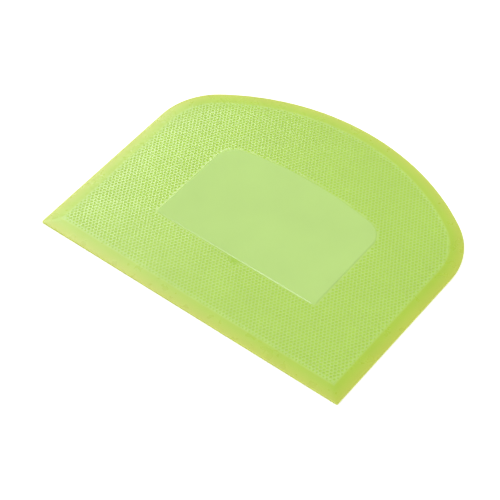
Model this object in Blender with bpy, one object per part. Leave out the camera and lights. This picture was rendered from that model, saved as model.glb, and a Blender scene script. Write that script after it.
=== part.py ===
"""Bench scraper: a D-shaped soft blade moulded round a stiff core plate.

The scraper lies on its back. +X runs along the straight scraping edge, the scraping edge is the
-Y side, the domed grip side is +Y, and the textured face looks up along +Z. The origin is at the
centre of the footprint, on the plane of the back. All lengths are in metres.
"""

import math

import bmesh
import bpy
from mathutils import Matrix

# Blade outline, seen from above
WIDTH = 0.138               # length of the straight scraping edge
HEIGHT = 0.113              # scraping edge to the top of the dome
DOME_RADIUS = 0.0975        # the long arc at the top
SHOULDER_RADIUS = 0.0285    # the arcs between the sides and the dome
CORNER_RADIUS = 0.0006      # rounding of the two corners of the scraping edge

# Blade section
LIP_THICKNESS = 0.0008      # the thin edge that scrapes, all the way round
RIM_WIDTH = 0.0054          # how far the bevel runs in from the edge
THICKNESS = 0.0020          # the flat field inside the bevel
SKIN = 0.0005               # soft material over and under the core

# Smooth raised panel in the middle of the field
PANEL_WIDTH = 0.0744
PANEL_HEIGHT = 0.0482
PANEL_BASE = 0.0295         # scraping edge to the panel's lower edge
PANEL_TOP_RADIUS = 0.150
PANEL_SHOULDER_RADIUS = 0.009
PANEL_RAISE = 0.0002

# Core plate and its anchors
GAP = 0.0002                # clearance between pieces
POCKET_INSET = 0.0070       # blade edge to the wall of the core's pocket
ANCHOR_PITCH = 0.0220
ANCHOR_HOLE_RADIUS = 0.0030
ANCHOR_MARGIN = 0.0060      # least distance from a hole's centre to the core's edge

# Colours, linear RGB
LIME = (0.45, 0.74, 0.14)
NATURAL = (0.82, 0.80, 0.70)

# Faceting
ARC_STEP = math.radians(4.0)
SHARP_ANGLE = math.radians(8.0)
ANCHOR_SIDES = 24
CORNER_SEGMENTS = 3


def clear_scene():
    for obj in list(bpy.data.objects):
        bpy.data.objects.remove(obj, do_unlink=True)


def new_collection(name):
    collection = bpy.data.collections.new(name)
    bpy.context.scene.collection.children.link(collection)
    return collection


def material(name, colour, roughness, subsurface=0.0):
    mat = bpy.data.materials.new(name)
    mat.use_nodes = True
    shader = mat.node_tree.nodes["Principled BSDF"]
    shader.inputs["Base Color"].default_value = (*colour, 1.0)
    shader.inputs["Roughness"].default_value = roughness
    shader.inputs["Metallic"].default_value = 0.0
    shader.inputs["Subsurface Weight"].default_value = subsurface
    return mat


def arc(centre, radius, start, end):
    """Points on an arc from start to end, both included."""
    steps = max(2, math.ceil(abs(end - start) / ARC_STEP))
    points = []
    for i in range(steps + 1):
        angle = start + (end - start) * i / steps
        points.append((centre[0] + radius * math.cos(angle), centre[1] + radius * math.sin(angle)))
    return points


def dome_frame(width, height, dome_radius, shoulder_radius, inset):
    """Sizes of a dome outline moved inwards: half width, radii, and the centres of its arcs."""
    half = width / 2 - inset
    dome = dome_radius - inset
    shoulder = shoulder_radius - inset
    dome_y = height - dome_radius
    shoulder_x = half - shoulder
    shoulder_y = dome_y + math.sqrt((dome - shoulder) ** 2 - shoulder_x ** 2)
    return half, dome, shoulder, dome_y, shoulder_x, shoulder_y


def dome_outline(width, height, dome_radius, shoulder_radius, inset=0.0):
    """Anticlockwise outline with a straight base, upright sides and a domed top.

    The base is centred on (0, 0). Shoulder arcs are tangent to the sides and to the dome, so an
    inset only shortens the radii and moves the straight edges.
    """
    half, dome, shoulder, dome_y, shoulder_x, shoulder_y = dome_frame(
        width, height, dome_radius, shoulder_radius, inset
    )
    tangent = math.atan2(shoulder_y - dome_y, shoulder_x)
    right = arc((shoulder_x, shoulder_y), shoulder, 0.0, tangent)
    top = arc((0.0, dome_y), dome, tangent, math.pi - tangent)
    left = arc((-shoulder_x, shoulder_y), shoulder, math.pi - tangent, math.pi)
    return [(-half, inset), (half, inset)] + right + top[1:-1] + left


def blade_outline(inset=0.0):
    points = dome_outline(WIDTH, HEIGHT, DOME_RADIUS, SHOULDER_RADIUS, inset)
    return [(x, y - HEIGHT / 2) for x, y in points]


def panel_outline():
    points = dome_outline(PANEL_WIDTH, PANEL_HEIGHT, PANEL_TOP_RADIUS, PANEL_SHOULDER_RADIUS)
    return [(x, y + PANEL_BASE - HEIGHT / 2) for x, y in points]


def row_reach(y, inset):
    """Half the width of the blade's inset outline at height y above the scraping edge."""
    half, dome, shoulder, dome_y, shoulder_x, shoulder_y = dome_frame(
        WIDTH, HEIGHT, DOME_RADIUS, SHOULDER_RADIUS, inset
    )
    if y <= shoulder_y:
        return half
    join_y = dome_y + (shoulder_y - dome_y) * dome / (dome - shoulder)
    if y <= join_y:
        return shoulder_x + math.sqrt(shoulder ** 2 - (y - shoulder_y) ** 2)
    return math.sqrt(max(0.0, dome ** 2 - (y - dome_y) ** 2))


def anchor_centres():
    """A square grid of anchor points, as far as it fits inside the core plate."""
    limit = POCKET_INSET + GAP + ANCHOR_MARGIN
    columns = int((WIDTH / 2 - limit) // ANCHOR_PITCH)
    rows = int((HEIGHT - 2 * limit) // ANCHOR_PITCH) + 1
    centres = []
    for row in range(rows):
        y = limit + row * ANCHOR_PITCH
        for column in range(-columns, columns + 1):
            x = column * ANCHOR_PITCH
            if abs(x) <= row_reach(y, limit):
                centres.append((x, y - HEIGHT / 2))
    return centres


def object_from_bmesh(name, bm, collection):
    bmesh.ops.recalc_face_normals(bm, faces=bm.faces)
    mesh = bpy.data.meshes.new(name)
    bm.to_mesh(mesh)
    bm.free()
    obj = bpy.data.objects.new(name, mesh)
    collection.objects.link(obj)
    return obj


def flat_plate(name, outline, holes, bottom, top, collection):
    """A flat plate from a filled 2D curve, with any number of round or shaped holes."""
    curve = bpy.data.curves.new(name, "CURVE")
    curve.dimensions = "2D"
    curve.fill_mode = "BOTH"
    curve.extrude = (top - bottom) / 2
    for points in [outline] + holes:
        spline = curve.splines.new("POLY")
        spline.points.add(len(points) - 1)
        for point, (x, y) in zip(spline.points, points):
            point.co = (x, y, 0.0, 1.0)
        spline.use_cyclic_u = True
    guide = bpy.data.objects.new(name, curve)
    guide.location.z = (bottom + top) / 2
    collection.objects.link(guide)
    return curve_to_mesh(guide, collection)


def curve_to_mesh(guide, collection):
    """Replace a curve object by a mesh object of the same name, with its caps welded."""
    bpy.context.view_layer.update()
    evaluated = guide.evaluated_get(bpy.context.evaluated_depsgraph_get())
    mesh = bpy.data.meshes.new_from_object(evaluated)
    bm = bmesh.new()
    bm.from_mesh(mesh)
    bmesh.ops.remove_doubles(bm, verts=bm.verts, dist=0.00001)
    bmesh.ops.recalc_face_normals(bm, faces=bm.faces)
    bm.to_mesh(mesh)
    bm.free()
    name = guide.name
    matrix = guide.matrix_world.copy()
    bpy.data.objects.remove(guide, do_unlink=True)
    obj = bpy.data.objects.new(name, mesh)
    obj.matrix_world = matrix
    collection.objects.link(obj)
    return obj


def circle(centre, radius):
    points = []
    for i in range(ANCHOR_SIDES):
        angle = 2 * math.pi * i / ANCHOR_SIDES
        points.append((centre[0] + radius * math.cos(angle), centre[1] + radius * math.sin(angle)))
    return points


def hide_as_cutter(obj):
    obj.hide_render = True
    obj.display_type = "WIRE"
    return obj


def cutter(name, outline, bottom, top, collection):
    return hide_as_cutter(flat_plate(name, outline, [], bottom, top, collection))


def finish(obj, mat):
    """Give a piece its material and smooth its round sides."""
    obj.data.materials.append(mat)
    obj.data.shade_smooth()
    obj.data.set_sharp_from_angle(angle=SHARP_ANGLE)


def boolean(obj, tool, operation):
    modifier = obj.modifiers.new(tool.name, "BOOLEAN")
    modifier.operation = operation
    modifier.solver = "EXACT"
    modifier.object = tool


def blade_body(collection):
    """The lip slab with the bevel and field raised on it, before the pocket and the panel."""
    bm = bmesh.new()
    base = bm.faces.new([bm.verts.new((x, y, 0.0)) for x, y in blade_outline()])
    lip = bmesh.ops.extrude_face_region(bm, geom=[base])
    lifted = [item for item in lip["geom"] if isinstance(item, bmesh.types.BMVert)]
    bmesh.ops.translate(bm, verts=lifted, vec=(0.0, 0.0, LIP_THICKNESS))
    field = [item for item in lip["geom"] if isinstance(item, bmesh.types.BMFace)]
    bmesh.ops.inset_region(
        bm,
        faces=field,
        thickness=RIM_WIDTH,
        depth=THICKNESS - LIP_THICKNESS,
        use_even_offset=True,
    )
    bmesh.ops.bevel(
        bm,
        geom=upright_corner_edges(bm),
        offset=CORNER_RADIUS,
        segments=CORNER_SEGMENTS,
        profile=0.5,
        affect="EDGES",
    )
    return object_from_bmesh("blade_jacket", bm, collection)


def upright_corner_edges(bm):
    """The upright edges of the lip at the two ends of the scraping edge."""
    found = []
    for edge in bm.edges:
        ends = [vert.co for vert in edge.verts]
        upright = (ends[0].xy - ends[1].xy).length < 0.00001
        at_corner = all(abs(co.x) > WIDTH / 2 - 0.00001 and co.y < 0.00001 - HEIGHT / 2 for co in ends)
        if upright and at_corner:
            found.append(edge)
    return found


def make_blade_jacket(parts, cutters):
    """The soft front: lip, bevel, field and panel, with a pocket in its back for the core."""
    jacket = blade_body(parts)
    panel = cutter("panel_shape", panel_outline(), THICKNESS - SKIN / 2, THICKNESS + PANEL_RAISE, cutters)
    pocket = cutter("pocket_shape", blade_outline(POCKET_INSET), -THICKNESS, THICKNESS - SKIN, cutters)
    boolean(jacket, panel, "UNION")
    boolean(jacket, pocket, "DIFFERENCE")
    finish(jacket, material("lime silicone", LIME, 0.42, 0.3))


def make_core_plate(parts):
    """The stiff plate that keeps the soft blade flat, with holes for the anchors."""
    holes = [circle(centre, ANCHOR_HOLE_RADIUS) for centre in anchor_centres()]
    bottom = SKIN + GAP
    top = THICKNESS - SKIN - GAP
    plate = flat_plate("core_plate", blade_outline(POCKET_INSET + GAP), holes, bottom, top, parts)
    finish(plate, material("natural nylon", NATURAL, 0.5))


def anchor_pegs(bottom, top, collection):
    """All the anchor pegs as one cutter, to be joined to the back cover."""
    bm = bmesh.new()
    for x, y in anchor_centres():
        bmesh.ops.create_cone(
            bm,
            cap_ends=True,
            segments=ANCHOR_SIDES,
            radius1=ANCHOR_HOLE_RADIUS - GAP,
            radius2=ANCHOR_HOLE_RADIUS - GAP,
            depth=top - bottom,
            matrix=Matrix.Translation((x, y, (top + bottom) / 2)),
        )
    return hide_as_cutter(object_from_bmesh("anchor_shapes", bm, collection))


def make_back_cover(parts, cutters):
    """The soft back that closes the pocket, with anchors that fill the core's holes."""
    cover = flat_plate("back_cover", blade_outline(POCKET_INSET + GAP), [], 0.0, SKIN, parts)
    boolean(cover, anchor_pegs(SKIN / 2, THICKNESS - SKIN - GAP, cutters), "UNION")
    finish(cover, material("lime silicone back", LIME, 0.5, 0.3))


def main():
    clear_scene()
    parts = new_collection("bench_scraper")
    cutters = new_collection("cutters")
    make_blade_jacket(parts, cutters)
    make_core_plate(parts)
    make_back_cover(parts, cutters)


main()
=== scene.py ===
"""Looks for the bench scraper: the dimpled lime silicone blade, its core plate and back cover.

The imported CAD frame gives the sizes. All lengths are in metres, in the frame's own axes: the
straight scraping edge is on the -Y side, the dome on +Y and the dimpled face looks up.
"""

import math

import bpy
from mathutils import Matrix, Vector
from mathutils.geometry import delaunay_2d_cdt


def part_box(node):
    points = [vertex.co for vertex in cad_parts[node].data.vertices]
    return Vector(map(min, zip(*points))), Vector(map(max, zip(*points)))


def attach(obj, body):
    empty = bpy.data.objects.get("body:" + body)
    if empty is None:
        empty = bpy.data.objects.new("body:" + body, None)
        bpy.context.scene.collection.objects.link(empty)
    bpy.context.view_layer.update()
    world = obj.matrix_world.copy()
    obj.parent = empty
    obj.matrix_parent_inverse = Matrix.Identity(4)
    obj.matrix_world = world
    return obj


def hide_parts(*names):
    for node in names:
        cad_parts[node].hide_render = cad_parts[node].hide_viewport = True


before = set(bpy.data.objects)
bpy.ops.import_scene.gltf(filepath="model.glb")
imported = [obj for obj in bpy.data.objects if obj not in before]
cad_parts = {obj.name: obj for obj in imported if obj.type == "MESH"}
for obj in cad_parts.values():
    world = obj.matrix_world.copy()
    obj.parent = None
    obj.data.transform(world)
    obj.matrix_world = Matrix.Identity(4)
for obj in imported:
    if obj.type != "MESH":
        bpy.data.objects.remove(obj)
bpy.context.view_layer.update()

MM_PER_M = 1000.0

# Sizes that the frame gives
BLADE_LOW, BLADE_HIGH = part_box("blade_jacket")
WIDTH = BLADE_HIGH.x - BLADE_LOW.x
HEIGHT = BLADE_HIGH.y - BLADE_LOW.y
BASE_Y = BLADE_LOW.y
PANEL_TOP = BLADE_HIGH.z

# The blade's outline. Moved inwards, its base corners get rounder by HIP_ROUNDING of the inset.
DOME_RADIUS = 0.0975
SHOULDER_RADIUS = 0.0285
CORNER_RADIUS = 0.0006
HIP_ROUNDING = 0.35
BLADE = (WIDTH, HEIGHT, DOME_RADIUS, SHOULDER_RADIUS)

# The lip, and the bevel from it to the field, which it meets in a soft knee
LIP_THICKNESS = 0.0008
LIP_ROUND = 0.00014
RIM_WIDTH = 0.0054
KNEE_SOFTNESS = 0.00012

# The field: level in the middle, crowned over a wide band, and rolling down next to the bevel
PANEL_RAISE = 0.0002
FIELD_TOP = PANEL_TOP - PANEL_RAISE
CROWN_DROP = 0.00030
CROWN_WIDTH = 0.026
ROLL_DROP = 0.00020
ROLL_WIDTH = 0.0070

# The pocket in the back, which holds the core plate and the back cover
SKIN = 0.0005
POCKET_INSET = 0.0070
POCKET_CORNER_RADIUS = 0.0002

# The raised panel. PANEL_BASE is how far its straight edge is from the blade's.
PANEL_WIDTH = 0.0744
PANEL_HEIGHT = 0.0482
PANEL_BASE = 0.0295
PANEL_TOP_RADIUS = 0.150
PANEL_SHOULDER_RADIUS = 0.009
PANEL_CORNER_RADIUS = 0.0012
PANEL = (PANEL_WIDTH, PANEL_HEIGHT, PANEL_TOP_RADIUS, PANEL_SHOULDER_RADIUS)

# The strip round the panel's foot, painted in shade and wider along its straight edge so that the painted
# shade shows as a dark line there, and the edge's draft
PANEL_FOOT = 0.00010
PANEL_BASE_FOOT = 0.00026
PANEL_DRAFT = 0.00054

# Shares of PANEL_RAISE and PANEL_DRAFT along the panel's edge: the lift at its foot, the bend
# near its top, and the band of faces inside it
PANEL_FOOT_LIFT = 0.02
PANEL_BEND_INSET = 0.7
PANEL_BEND_LIFT = 0.9
PANEL_BAND_INSET = 1.6

# The hexagonal grid of dimples. Next to the rim a dimple keeps DIMPLE_RIM_SHARE of its radius.
DIMPLE_PITCH = 0.0015
DIMPLE_ROW_PITCH = 0.00124
DIMPLE_RADIUS = 0.00054
DIMPLE_DEPTH = 0.00013
DIMPLE_SIDES = 8
DIMPLE_MARGIN = 0.00004
DIMPLE_LEAST_RADIUS = 0.00022
DIMPLE_FADE = 0.0016
DIMPLE_RIM_SHARE = 0.5
DIMPLE_WAIST = 0.8
DIMPLE_WAIST_SINK = 0.72
FIRST_ROW = 0.00615

# The smooth mark that the moulding gate leaves below the panel
GATE_X = 0.0013
GATE_RADIUS = 0.0017
GATE_MIDDLE_Y = PANEL_BASE - 0.5 * GATE_RADIUS
GATE_DEPTH = 0.00010
GATE_SIDES = 14
GATE_WAIST = 0.45
GATE_WAIST_SINK = 0.8

# How fine the mesh is. A RIM_RING_POWER under 1 crowds the bevel's rings towards the field.
ARC_STEP = math.radians(2.5)
STRAIGHT_STEP = 0.004
STRAIGHT_END_SHARE = 0.1
LIP_STEPS = 3
RIM_RINGS = 9
RIM_RING_POWER = 0.7
SHARP_ANGLE = math.radians(15.0)
WELD_DISTANCE = 1e-9

# Which finishes switch each face attribute on. The first attribute paints shade into the colour of the
# dimples, the gate mark's dish and the strip round the panel's foot; the last makes faces matt.
FINISH_ATTRIBUTES = {"painted_shade": ("painted_shade",), "pale": ("draft", "panel"), "matt": ("painted_shade", "panel")}

# Colours
WALL_LIME = (0.55, 0.62, 0.040, 1.0)
LIP_LIME = (0.522, 0.605, 0.083, 1.0)
RIM_LIME = (0.418, 0.602, 0.056, 1.0)
LAND_LIME = (0.464, 0.674, 0.158, 1.0)
# Painted shade, for the dimples, the gate mark's dish and the strip round the panel's foot
PAINTED_SHADE_LIME = (0.378, 0.603, 0.046, 1.0)
GATE_LIME = (0.34, 0.565, 0.040, 1.0)
PANEL_LIME = (0.434, 0.646, 0.170, 1.0)
BACK_LIME = (0.43, 0.64, 0.080, 1.0)
BACK_LIME_DARK = (0.4085, 0.608, 0.076, 1.0)
NYLON = (0.80, 0.78, 0.68, 1.0)
NYLON_WARM = (0.80, 0.7644, 0.6324, 1.0)
FLOOR_WHITE = (0.95, 0.95, 0.95, 1.0)
WHITE = (1.0, 1.0, 1.0, 1.0)

# The jacket's colour at each distance in from its outline, in millimetres, up to EDGE_REACH_MM
EDGE_COLOURS = ((0.0, WALL_LIME), (0.15, LIP_LIME), (4.2, RIM_LIME), (5.0, RIM_LIME), (6.1, LAND_LIME))
EDGE_REACH_MM = 10.0

# The middle part of the noise texture's range, where nearly all of its values are
NOISE_LOW = 0.3
NOISE_HIGH = 0.7

# Sockets of a mix node that carry a colour. Their names repeat for every kind of value.
MIX_COLOUR_A = 6
MIX_COLOUR_B = 7
MIX_COLOUR_RESULT = 2

# The floor, and the backdrop's brightness overhead against 1 at the horizon
FLOOR_SIZE = 6.0
FLOOR_GAP = 0.00002
FLOOR_GLOW = 0.35
OVERHEAD_LIGHT = 0.39
HORIZON_BAND = 0.25

# The lights: name, place, size along X and Y, turn about Z in degrees, and power in watts
SOFTBOXES = (
    ("left softbox", (-1.34, 1.12, 1.8), (0.54, 1.04), 8.0, 9.6),
    ("far left softbox", (-2.65, 1.85, 1.8), (0.9, 1.1), 0.0, 19.0),
    ("low left softbox", (-1.50, 0.20, 1.8), (1.1, 0.8), 0.0, 16.0),
    ("corner softbox", (-1.90, 0.56, 1.8), (0.25, 0.25), 0.0, 10.0),
    ("back softbox", (-1.40, 2.75, 1.8), (2.0, 0.9), 0.0, 6.5),
    ("front softbox", (-0.74, -0.50, 2.0), (0.4, 0.4), 0.0, 6.0),
    ("right fill", (1.2, 0.5, 2.1), (1.0, 1.0), 0.0, 19.3),
)

# The camera's direction from its target, both placed in widths of the blade, and its sensor and
# lens in millimetres
CAMERA_AZIMUTH = math.radians(37.74)
CAMERA_ELEVATION = math.radians(49.92)
CAMERA_DISTANCE = 5.075 * WIDTH
CAMERA_TARGET = Vector((0.0108 * WIDTH, BASE_Y + 0.2717 * WIDTH, 0.0))
CAMERA_SENSOR = 36.0
CAMERA_LENS = 135.0


def dome_frame(width, height, dome_radius, shoulder_radius, inset):
    """Sizes of a dome outline moved inwards: half width, radii, and the centres of its arcs."""
    half = width / 2 - inset
    dome = dome_radius - inset
    shoulder = shoulder_radius - inset
    dome_y = height - dome_radius
    shoulder_x = half - shoulder
    shoulder_y = dome_y + math.sqrt((dome - shoulder) ** 2 - shoulder_x ** 2)
    return half, dome, shoulder, dome_y, shoulder_x, shoulder_y


def arc(x, y, radius, start, end):
    """Points on an arc, without its last one."""
    steps = max(3, math.ceil(abs(end - start) / ARC_STEP))
    angles = [start + (end - start) * i / steps for i in range(steps)]
    return [(x + radius * math.cos(a), y + radius * math.sin(a)) for a in angles]


def straight(a, b, steps):
    """Evenly spaced points from a to b, without b. One more near each end keeps the shading flat between."""
    near = STRAIGHT_END_SHARE / steps
    shares = [0.0, near] + [i / steps for i in range(1, steps)] + [1 - near]
    return [(a[0] + (b[0] - a[0]) * share, a[1] + (b[1] - a[1]) * share) for share in shares]


def dome_outline(shape, corner, inset):
    """Anticlockwise outline with rounded base corners. Every inset gives the same number of points."""
    half, dome, shoulder, dome_y, shoulder_x, shoulder_y = dome_frame(*shape, inset)
    tangent = math.atan2(shoulder_y - dome_y, shoulder_x)
    low = inset + corner
    base_steps = round(shape[0] / STRAIGHT_STEP)
    side_steps = max(2, round(dome_frame(*shape, 0.0)[5] / STRAIGHT_STEP))
    points = arc(-half + corner, low, corner, math.pi, 1.5 * math.pi)
    points += straight((-half + corner, inset), (half - corner, inset), base_steps)
    points += arc(half - corner, low, corner, 1.5 * math.pi, 2 * math.pi)
    points += straight((half, low), (half, shoulder_y), side_steps)
    points += arc(shoulder_x, shoulder_y, shoulder, 0.0, tangent)
    points += arc(0.0, dome_y, dome, tangent, math.pi - tangent)
    points += arc(-shoulder_x, shoulder_y, shoulder, math.pi - tangent, math.pi)
    points += straight((-half, shoulder_y), (-half, low), side_steps)
    return points


def blade_outline(inset):
    """The blade's outline moved inwards. Its base corners get rounder, which softens the bevel's hips."""
    return dome_outline(BLADE, CORNER_RADIUS + HIP_ROUNDING * inset, inset)


def panel_outline(inset):
    """The panel's outline moved inwards, in its place on the blade."""
    return [(x, y + PANEL_BASE) for x, y in dome_outline(PANEL, PANEL_CORNER_RADIUS, inset)]


def panel_foot_outline():
    """The outer edge of the strip round the panel's foot. Its lower corners move down with its base."""
    corners_end = PANEL_BASE + 2 * PANEL_CORNER_RADIUS
    drop = PANEL_BASE_FOOT - PANEL_FOOT
    return [(x, y - drop if y < corners_end else y) for x, y in panel_outline(-PANEL_FOOT)]


def gate_outline(scale):
    """Most of the half circle below the panel's foot, shrunk towards its middle by a scale."""
    drop = PANEL_BASE_FOOT + DIMPLE_MARGIN
    start = math.asin(drop / GATE_RADIUS)
    points = []
    for i in range(GATE_SIDES + 1):
        angle = math.pi + start + (math.pi - 2 * start) * i / GATE_SIDES
        x = GATE_RADIUS * math.cos(angle)
        y = PANEL_BASE + GATE_RADIUS * math.sin(angle)
        points.append((GATE_X + scale * x, GATE_MIDDLE_Y + scale * (y - GATE_MIDDLE_Y)))
    return points


def dimple_outline(x, y, radius):
    """A regular polygon round a dimple's centre."""
    angles = [2 * math.pi * (i + 0.5) / DIMPLE_SIDES for i in range(DIMPLE_SIDES)]
    return [(x + radius * math.cos(a), y + radius * math.sin(a)) for a in angles]


def corner_cut(x, y, inset):
    """How much nearer the blade's rounded base corner is than its two sides, at an inset."""
    corner = CORNER_RADIUS + HIP_ROUNDING * inset
    beside = abs(x) - (WIDTH / 2 - inset - corner)
    below = inset + corner - y
    if beside <= 0 or below <= 0:
        return 0.0
    return math.hypot(beside, below) - max(beside, below)


def depth_inside(shape, x, y):
    """How far a point lies inside a dome outline, measured from its nearest side. Negative outside."""
    half, dome, shoulder, dome_y, shoulder_x, shoulder_y = dome_frame(*shape, 0.0)
    tangent = math.atan2(shoulder_y - dome_y, shoulder_x)
    if math.atan2(y - dome_y, abs(x)) >= tangent:
        side = dome - math.hypot(x, y - dome_y)
    elif abs(x) > shoulder_x and y > shoulder_y:
        side = shoulder - math.hypot(abs(x) - shoulder_x, y - shoulder_y)
    else:
        side = half - abs(x)
    return min(side, y)


def field_height(depth):
    """Height of the dimpled field, at a depth inside the blade's outline."""
    crown = max(0.0, 1 - depth / CROWN_WIDTH)
    roll = max(0.0, 1 - (depth - RIM_WIDTH) / ROLL_WIDTH)
    return FIELD_TOP - CROWN_DROP * crown ** 2 - ROLL_DROP * roll ** 2


def top_height(depth):
    """Height of the blade's upper face, over the bevel and its soft knee and into the field."""
    slope = (field_height(RIM_WIDTH) - LIP_THICKNESS) / RIM_WIDTH
    bevel = LIP_THICKNESS + slope * depth
    field = field_height(depth)
    near = max(0.0, KNEE_SOFTNESS - abs(bevel - field))
    return min(bevel, field) - near ** 2 / (4 * KNEE_SOFTNESS)


class Shell:
    """Vertices and faces of one closed mesh. Each face has a finish: plain, painted shade, draft or panel."""

    def __init__(self):
        self.points = []
        self.faces = []
        self.finishes = []

    def ring(self, outline, z):
        """Adds an outline's points at one height. Returns their numbers."""
        first = len(self.points)
        self.points += [(x, y + BASE_Y, z) for x, y in outline]
        return list(range(first, len(self.points)))

    def sunken_ring(self, outline, sink):
        """A ring that follows the upper face, at a depth below it."""
        first = len(self.points)
        self.points += [(x, y + BASE_Y, top_height(depth_inside(BLADE, x, y)) - sink) for x, y in outline]
        return list(range(first, len(self.points)))

    def face(self, corners, finish="plain"):
        """Adds one face between numbered points."""
        self.faces.append(tuple(corners))
        self.finishes.append(finish)

    def bridge(self, lower, upper, finish="plain"):
        """Faces between two rings of the same count, facing outwards when lower is the outer one."""
        count = len(lower)
        for i in range(count):
            j = (i + 1) % count
            self.face((lower[i], lower[j], upper[j], upper[i]), finish)

    def build(self, name):
        """Makes the object, with the attributes that its material reads."""
        mesh = bpy.data.meshes.new(name)
        mesh.from_pydata(self.points, [], self.faces)
        depths = [MM_PER_M * max(0.0, depth_inside(BLADE, x, y - BASE_Y)) for x, y, z in self.points]
        mesh.attributes.new("edge_mm", "FLOAT", "POINT").data.foreach_set("value", depths)
        strays = [MM_PER_M * math.hypot(x - GATE_X, y - BASE_Y - PANEL_BASE) for x, y, z in self.points]
        mesh.attributes.new("gate_mm", "FLOAT", "POINT").data.foreach_set("value", strays)
        for attribute, finishes in FINISH_ATTRIBUTES.items():
            values = [float(finish in finishes) for finish in self.finishes]
            mesh.attributes.new(attribute, "FLOAT", "FACE").data.foreach_set("value", values)
        obj = bpy.data.objects.new(name, mesh)
        bpy.context.scene.collection.objects.link(obj)
        mesh.shade_smooth()
        mesh.set_sharp_from_angle(angle=SHARP_ANGLE)
        return obj


def rim_rings():
    """Inset and height of each ring, from the flat of the back round the lip to the start of the field."""
    rings = [(POCKET_INSET / 2, 0.0)]
    for i in range(LIP_STEPS + 1):
        angle = math.pi / 2 * i / LIP_STEPS
        rings.append((LIP_ROUND * (1 - math.sin(angle)), LIP_ROUND * (1 - math.cos(angle))))
    for i in range(LIP_STEPS + 1):
        angle = math.pi / 2 * i / LIP_STEPS
        inset = LIP_ROUND * (1 - math.cos(angle))
        rings.append((inset, top_height(inset) - LIP_ROUND * (1 - math.sin(angle))))
    for i in range(1, RIM_RINGS + 1):
        inset = LIP_ROUND + (RIM_WIDTH - LIP_ROUND) * (i / RIM_RINGS) ** RIM_RING_POWER
        rings.append((inset, top_height(inset)))
    return rings


def add_rim(shell):
    """The pocket, the flat round it, the lip and the bevel. Returns the bevel's upper edge."""
    pocket = dome_outline(BLADE, POCKET_CORNER_RADIUS, POCKET_INSET)
    rings = [shell.ring(pocket, 0.0)]
    rings += [shell.ring(blade_outline(inset), z) for inset, z in rim_rings()]
    for lower, upper in zip(rings, rings[1:]):
        shell.bridge(lower, upper)
    pocket_top = shell.ring(pocket, FIELD_TOP - SKIN)
    shell.bridge(pocket_top, rings[0])
    shell.face(reversed(pocket_top))
    return rings[-1]


def panel_rings():
    """Inset and height of each ring, from the panel's foot up its drafted edge to its flat top."""
    return [
        (0.0, FIELD_TOP + PANEL_FOOT_LIFT * PANEL_RAISE),
        (PANEL_BEND_INSET * PANEL_DRAFT, FIELD_TOP + PANEL_BEND_LIFT * PANEL_RAISE),
        (PANEL_DRAFT, PANEL_TOP),
        (PANEL_BAND_INSET * PANEL_DRAFT, PANEL_TOP),
    ]


def add_panel_step(shell, lower, upper):
    """Faces up one step of the panel's edge: glossy along its straight base and matt elsewhere."""
    base_y = min(shell.points[index][1] for index in upper)
    for i in range(len(upper)):
        j = (i + 1) % len(upper)
        on_base = shell.points[upper[i]][1] == base_y and shell.points[upper[j]][1] == base_y
        shell.face((lower[i], lower[j], upper[j], upper[i]), "draft" if on_base else "panel")


def add_panel(shell):
    """The strip round the panel's foot, which is painted in shade, then the panel's edge and its flat top.
    Returns the strip's outer edge.
    """
    foot = shell.ring(panel_foot_outline(), FIELD_TOP)
    steps = [shell.ring(panel_outline(inset), z) for inset, z in panel_rings()]
    # The foot strip gets the painted shade finish
    shell.bridge(foot, steps[0], "painted_shade")
    for lower, upper in zip(steps, steps[1:-1]):
        add_panel_step(shell, lower, upper)
    shell.bridge(steps[-2], steps[-1], "panel")
    shell.face(steps[-1], "panel")
    return foot


def add_hollow(shell, mouth, waist, waist_sink, centre, sink):
    """A bowl below the upper face, with shade painted on its faces. Returns its mouth."""
    rim = shell.sunken_ring(mouth, 0.0)
    wall = shell.sunken_ring(waist, waist_sink)
    floor = shell.sunken_ring([centre], sink)[0]
    shell.bridge(rim, wall, "painted_shade")
    for i in range(len(wall)):
        shell.face((wall[i], wall[(i + 1) % len(wall)], floor), "painted_shade")
    return rim


def add_gate_mark(shell):
    """The shallow mark below the panel. Returns its mouth."""
    mouth = gate_outline(1.0)
    waist = gate_outline(GATE_WAIST)
    return add_hollow(shell, mouth, waist, GATE_WAIST_SINK * GATE_DEPTH, (GATE_X, GATE_MIDDLE_Y), GATE_DEPTH)


def add_dimple(shell, x, y, radius):
    """One dimple, as deep for its radius as a full one. Returns its mouth."""
    mouth = dimple_outline(x, y, radius)
    waist = dimple_outline(x, y, radius * DIMPLE_WAIST)
    sink = DIMPLE_DEPTH * radius / DIMPLE_RADIUS
    return add_hollow(shell, mouth, waist, DIMPLE_WAIST_SINK * sink, (x, y), sink)


def dimple_places():
    """Centre and radius of each dimple. Those that meet the rim, the panel or the gate mark shrink."""
    rows = int(HEIGHT / DIMPLE_ROW_PITCH)
    columns = int(WIDTH / 2 / DIMPLE_PITCH) + 1
    places = []
    for row in range(rows):
        y = FIRST_ROW + DIMPLE_ROW_PITCH * row
        shift = DIMPLE_PITCH / 2 * (row % 2)
        for column in range(-columns, columns + 1):
            x = column * DIMPLE_PITCH + shift
            from_rim = depth_inside(BLADE, x, y) - RIM_WIDTH - corner_cut(x, y, RIM_WIDTH)
            fade = min(1.0, DIMPLE_RIM_SHARE + (1 - DIMPLE_RIM_SHARE) * from_rim / DIMPLE_FADE)
            foot = PANEL_BASE_FOOT if y < PANEL_BASE else PANEL_FOOT
            from_panel = -depth_inside(PANEL, x, y - PANEL_BASE) - foot
            from_gate = math.hypot(x - GATE_X, y - PANEL_BASE) - GATE_RADIUS
            room = min(from_rim, from_panel, from_gate)
            radius = min(DIMPLE_RADIUS * fade, room - DIMPLE_MARGIN)
            if radius >= DIMPLE_LEAST_RADIUS:
                places.append((x, y, radius))
    return places


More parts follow.
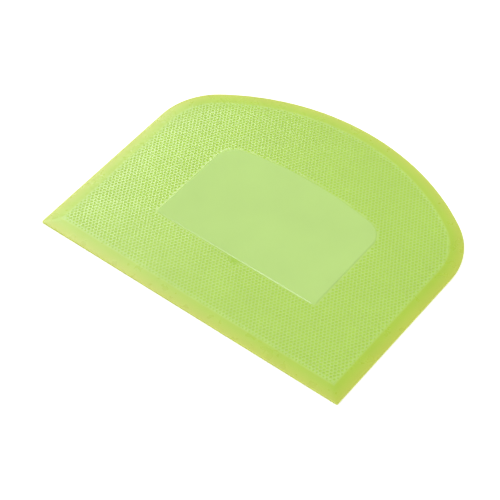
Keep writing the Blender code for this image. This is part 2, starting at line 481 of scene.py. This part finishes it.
def add_field(shell, loops):
    """Triangles between the outer loop, which comes first, and the holes. Each hole has to be convex."""
    flat = [index for loop in loops for index in loop]
    coords = [Vector(shell.points[index][:2]) for index in flat]
    edges = []
    start = 0
    for loop in loops:
        count = len(loop)
        edges += [(start + i, start + (i + 1) % count) for i in range(count)]
        start += count
    inside_outer = 1
    result = delaunay_2d_cdt(coords, edges, [], inside_outer, WELD_DISTANCE, True)
    triangles, origins = result[2:4]
    back = [flat[origin[0]] for origin in origins]
    owner = {index: number for number, loop in enumerate(loops) for index in loop}
    for triangle in triangles:
        corners = tuple(back[i] for i in triangle)
        owners = {owner[corner] for corner in corners}
        # A triangle whose corners are all on one hole lies inside that hole
        if len(owners) > 1 or owners == {0}:
            shell.face(corners)


def make_blade():
    """The whole silicone jacket, as one closed mesh."""
    shell = Shell()
    loops = [add_rim(shell), add_panel(shell), add_gate_mark(shell)]
    loops += [add_dimple(shell, x, y, radius) for x, y, radius in dimple_places()]
    add_field(shell, loops)
    blade = shell.build("silicone_blade")
    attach(blade, "root")
    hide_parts("blade_jacket")
    return blade


def set_inputs(node, values):
    """Plain values for a node's inputs, by their names."""
    for name, value in values.items():
        node.inputs[name].default_value = value


class Nodes:
    """A short way to write a material's nodes."""

    def __init__(self, name):
        self.material = bpy.data.materials.new(name)
        self.material.use_nodes = True
        self.tree = self.material.node_tree
        self.shader = self.tree.nodes["Principled BSDF"]

    def add(self, kind, **settings):
        """A new node with its settings."""
        node = self.tree.nodes.new(kind)
        for key, value in settings.items():
            setattr(node, key, value)
        return node

    def link(self, source, target):
        """Joins an output to an input."""
        self.tree.links.new(source, target)

    def attribute(self, name):
        """The value of a mesh attribute."""
        return self.add("ShaderNodeAttribute", attribute_name=name).outputs["Fac"]


def ramp(n, fac, stops):
    """A colour ramp with the given stops."""
    node = n.add("ShaderNodeValToRGB")
    while len(node.color_ramp.elements) < len(stops):
        node.color_ramp.elements.new(0.5)
    for element, (position, colour) in zip(node.color_ramp.elements, stops):
        element.position = position
        element.color = colour
    n.link(fac, node.inputs["Fac"])
    return node.outputs["Color"]


def mix_colour(n, fac, colour, over):
    """A colour, turning into a fixed one as the factor goes to 1."""
    node = n.add("ShaderNodeMix", data_type="RGBA")
    n.link(fac, node.inputs["Factor"])
    n.link(colour, node.inputs[MIX_COLOUR_A])
    node.inputs[MIX_COLOUR_B].default_value = over
    return node.outputs[MIX_COLOUR_RESULT]


def mix_value(n, fac, value, over):
    """A value, turning into a fixed one as the factor goes to 1."""
    node = n.add("ShaderNodeMix", data_type="FLOAT")
    n.link(fac, node.inputs["Factor"])
    n.link(value, node.inputs["A"])
    node.inputs["B"].default_value = over
    return node.outputs["Result"]


def add_values(n, a, b):
    """The sum of two values."""
    node = n.add("ShaderNodeMath", operation="ADD")
    n.link(a, node.inputs[0])
    n.link(b, node.inputs[1])
    return node.outputs[0]


def remap(n, value, low, high, to_low, to_high):
    """A value that runs from low to high, made to run from to_low to to_high and to stop there."""
    node = n.add("ShaderNodeMapRange")
    set_inputs(node, {"From Min": low, "From Max": high, "To Min": to_low, "To Max": to_high})
    n.link(value, node.inputs["Value"])
    return node.outputs["Result"]


def noise(n, scale, detail):
    """Noise in the object's own metres, so its grain keeps its size in every view."""
    where = n.add("ShaderNodeTexCoord").outputs["Object"]
    node = n.add("ShaderNodeTexNoise")
    set_inputs(node, {"Scale": scale, "Detail": detail})
    n.link(where, node.inputs["Vector"])
    return node.outputs["Fac"]


def clouds(n, scale, low, high):
    """A value that wanders between low and high."""
    return remap(n, noise(n, scale, 3.0), NOISE_LOW, NOISE_HIGH, low, high)


def mottle(n, colour, scale, amount):
    """The colour, a little lighter and darker in soft clouds."""
    node = n.add("ShaderNodeHueSaturation")
    n.link(clouds(n, scale, 1.0 - amount, 1.0 + amount), node.inputs["Value"])
    n.link(colour, node.inputs["Color"])
    return node.outputs["Color"]


def grain(n, scale, depth):
    """Fine moulded texture for the shader's normal. Its depth is in metres."""
    bump = n.add("ShaderNodeBump")
    set_inputs(bump, {"Strength": 1.0, "Distance": depth})
    n.link(noise(n, scale, 2.0), bump.inputs["Height"])
    n.link(bump.outputs["Normal"], n.shader.inputs["Normal"])


def silicone_body(n):
    """What both silicones share: a fine mould grain, and light that gets a little way in."""
    grain(n, scale=2500.0, depth=0.000004)
    set_inputs(n.shader, {
        "IOR": 1.55,
        "Subsurface Weight": 0.12,
        "Subsurface Radius": (0.8, 1.0, 0.3),
        "Subsurface Scale": 0.001,
    })


def jacket_colour(n, edge):
    """Lime: yellower at the thin lip and deeper in the bevel, with shade painted into the dimples, the gate
    mark's dish and the strip round the panel's foot, and darker round the gate mark.
    """
    stops = [(distance / EDGE_REACH_MM, colour) for distance, colour in EDGE_COLOURS]
    colour = ramp(n, remap(n, edge, 0.0, EDGE_REACH_MM, 0.0, 1.0), stops)
    # Painted shade in the dimples, the gate mark's dish and the strip round the panel's foot
    colour = mix_colour(n, n.attribute("painted_shade"), colour, PAINTED_SHADE_LIME)
    near_gate = remap(n, n.attribute("gate_mm"), low=1.2, high=3.4, to_low=0.9, to_high=0.0)
    colour = mix_colour(n, near_gate, colour, GATE_LIME)
    colour = mix_colour(n, n.attribute("pale"), colour, PANEL_LIME)
    return mottle(n, colour, scale=45.0, amount=0.025)


def jacket_roughness(n, edge):
    """Satin on the bevel, glossier in the field, and matt in the dimples and on the panel."""
    satin = remap(n, edge, low=MM_PER_M * RIM_WIDTH, high=7.5, to_low=0.29, to_high=0.22)
    uneven = add_values(n, satin, clouds(n, scale=260.0, low=-0.03, high=0.03))
    return mix_value(n, n.attribute("matt"), uneven, over=0.6)


def blade_silicone(name):
    """The translucent lime silicone of the jacket."""
    n = Nodes(name)
    edge = n.attribute("edge_mm")
    n.link(jacket_colour(n, edge), n.shader.inputs["Base Color"])
    n.link(jacket_roughness(n, edge), n.shader.inputs["Roughness"])
    silicone_body(n)
    return n.material


def back_silicone(name):
    """The smooth lime silicone of the back, with the satin of a polished mould."""
    n = Nodes(name)
    colour = ramp(n, noise(n, scale=30.0, detail=3.0), [(NOISE_LOW, BACK_LIME), (NOISE_HIGH, BACK_LIME_DARK)])
    n.link(mottle(n, colour, scale=120.0, amount=0.02), n.shader.inputs["Base Color"])
    n.link(clouds(n, scale=180.0, low=0.34, high=0.46), n.shader.inputs["Roughness"])
    silicone_body(n)
    return n.material


def natural_nylon(name):
    """Unpigmented nylon: cream, waxy and faintly cloudy, with a fine mould grain."""
    n = Nodes(name)
    colour = ramp(n, noise(n, scale=60.0, detail=4.0), [(0.35, NYLON), (0.65, NYLON_WARM)])
    n.link(mottle(n, colour, scale=200.0, amount=0.02), n.shader.inputs["Base Color"])
    n.link(clouds(n, scale=300.0, low=0.42, high=0.56), n.shader.inputs["Roughness"])
    grain(n, scale=1800.0, depth=0.000006)
    set_inputs(n.shader, {
        "IOR": 1.53,
        "Subsurface Weight": 0.2,
        "Subsurface Radius": (1.0, 0.9, 0.7),
        "Subsurface Scale": 0.001,
    })
    return n.material


def floor_paint(name):
    """Matt white with a faint glow of its own."""
    n = Nodes(name)
    set_inputs(n.shader, {
        "Base Color": FLOOR_WHITE,
        "Roughness": 0.9,
        "Specular IOR Level": 0.0,
        "Emission Color": WHITE,
        "Emission Strength": FLOOR_GLOW,
    })
    return n.material


def dress(node, material):
    """Gives a carried-over CAD node its material, in every slot that it has."""
    for slot in bpy.data.objects[node].material_slots:
        slot.material = material


def show_stage():
    """A pale floor just under the scraper."""
    bpy.ops.mesh.primitive_plane_add(size=FLOOR_SIZE, location=(0.0, 0.0, -FLOOR_GAP))
    floor = bpy.context.object
    floor.name = "floor"
    floor.data.materials.append(floor_paint("pale floor"))
    bpy.context.scene.view_settings.view_transform = "Standard"


def show_backdrop():
    """A white studio backdrop: as bright as the floor at the horizon and dimmer overhead."""
    world = bpy.data.worlds.new("studio")
    world.use_nodes = True
    tree = world.node_tree
    background = tree.nodes["Background"]
    set_inputs(background, {"Color": WHITE})
    where = tree.nodes.new("ShaderNodeTexCoord")
    split = tree.nodes.new("ShaderNodeSeparateXYZ")
    fall = tree.nodes.new("ShaderNodeMapRange")
    set_inputs(fall, {"From Min": 0.0, "From Max": HORIZON_BAND, "To Min": 1.0, "To Max": OVERHEAD_LIGHT})
    tree.links.new(where.outputs["Generated"], split.inputs["Vector"])
    tree.links.new(split.outputs["Z"], fall.inputs["Value"])
    tree.links.new(fall.outputs["Result"], background.inputs["Strength"])
    bpy.context.scene.world = world


def softbox(name, place, size, turn, power):
    """A rectangular light that faces straight down, turned about the vertical."""
    data = bpy.data.lights.new(name, "AREA")
    data.shape = "RECTANGLE"
    data.size, data.size_y = size
    data.energy = power
    lamp = bpy.data.objects.new(name, data)
    lamp.location = place
    lamp.rotation_euler = (0.0, 0.0, math.radians(turn))
    bpy.context.scene.collection.objects.link(lamp)


def make_camera():
    """A long lens in front of the straight edge, well above it and to its right."""
    back = Vector((
        math.sin(CAMERA_AZIMUTH) * math.cos(CAMERA_ELEVATION),
        -math.cos(CAMERA_AZIMUTH) * math.cos(CAMERA_ELEVATION),
        math.sin(CAMERA_ELEVATION),
    ))
    data = bpy.data.cameras.new("camera")
    data.sensor_width = CAMERA_SENSOR
    data.lens = CAMERA_LENS
    camera = bpy.data.objects.new("camera", data)
    camera.location = CAMERA_TARGET + back * CAMERA_DISTANCE
    camera.rotation_euler = (-back).to_track_quat("-Z", "Y").to_euler()
    bpy.context.scene.collection.objects.link(camera)
    bpy.context.scene.camera = camera


def main():
    """Dresses the three pieces and sets up the studio."""
    blade = make_blade()
    blade.data.materials.append(blade_silicone("lime silicone"))
    dress("core_plate", natural_nylon("natural nylon"))
    dress("back_cover", back_silicone("lime silicone back"))
    show_stage()
    show_backdrop()
    for name, place, size, turn, power in SOFTBOXES:
        softbox(name, place, size, turn, power)
    make_camera()


main()
